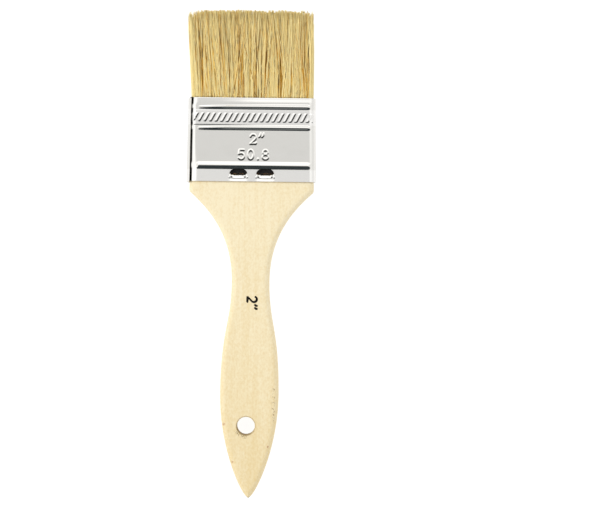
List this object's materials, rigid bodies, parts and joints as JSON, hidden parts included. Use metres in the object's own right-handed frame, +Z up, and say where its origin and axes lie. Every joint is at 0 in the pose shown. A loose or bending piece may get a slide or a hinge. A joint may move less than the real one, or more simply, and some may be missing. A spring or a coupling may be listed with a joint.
{
  "type": "flat paint brush",
  "caption": "Flat paint brush with a paddle-shaped wooden handle and hanging hole, a beaded tinplate ferrule staked to it, and natural bristle for spreading paint, glue or varnish.",
  "frame": {"origin": "middle of the brush's length and width, on the surface that it lies on with its back down", "axes": "+X across the width, +Y along the brush towards the bristle tips, +Z up, out of the front face"},
  "size_m": [0.0517, 0.1945, 0.01],
  "materials": {
    "handle_wood": "sanded, bare",
    "tinplate": "bright rolled tinplate",
    "setting_resin": "satin",
    "plug_wood": "sawn, bare",
    "hog_bristle": "natural straw-coloured hair"
  },
  "bodies": {
    "root": {"handle": "handle_wood", "ferrule": "tinplate", "resin_setting": "setting_resin", "plug": "plug_wood", "front_bristles": "hog_bristle", "back_bristles": "hog_bristle"}
  },
  "joints": []
}
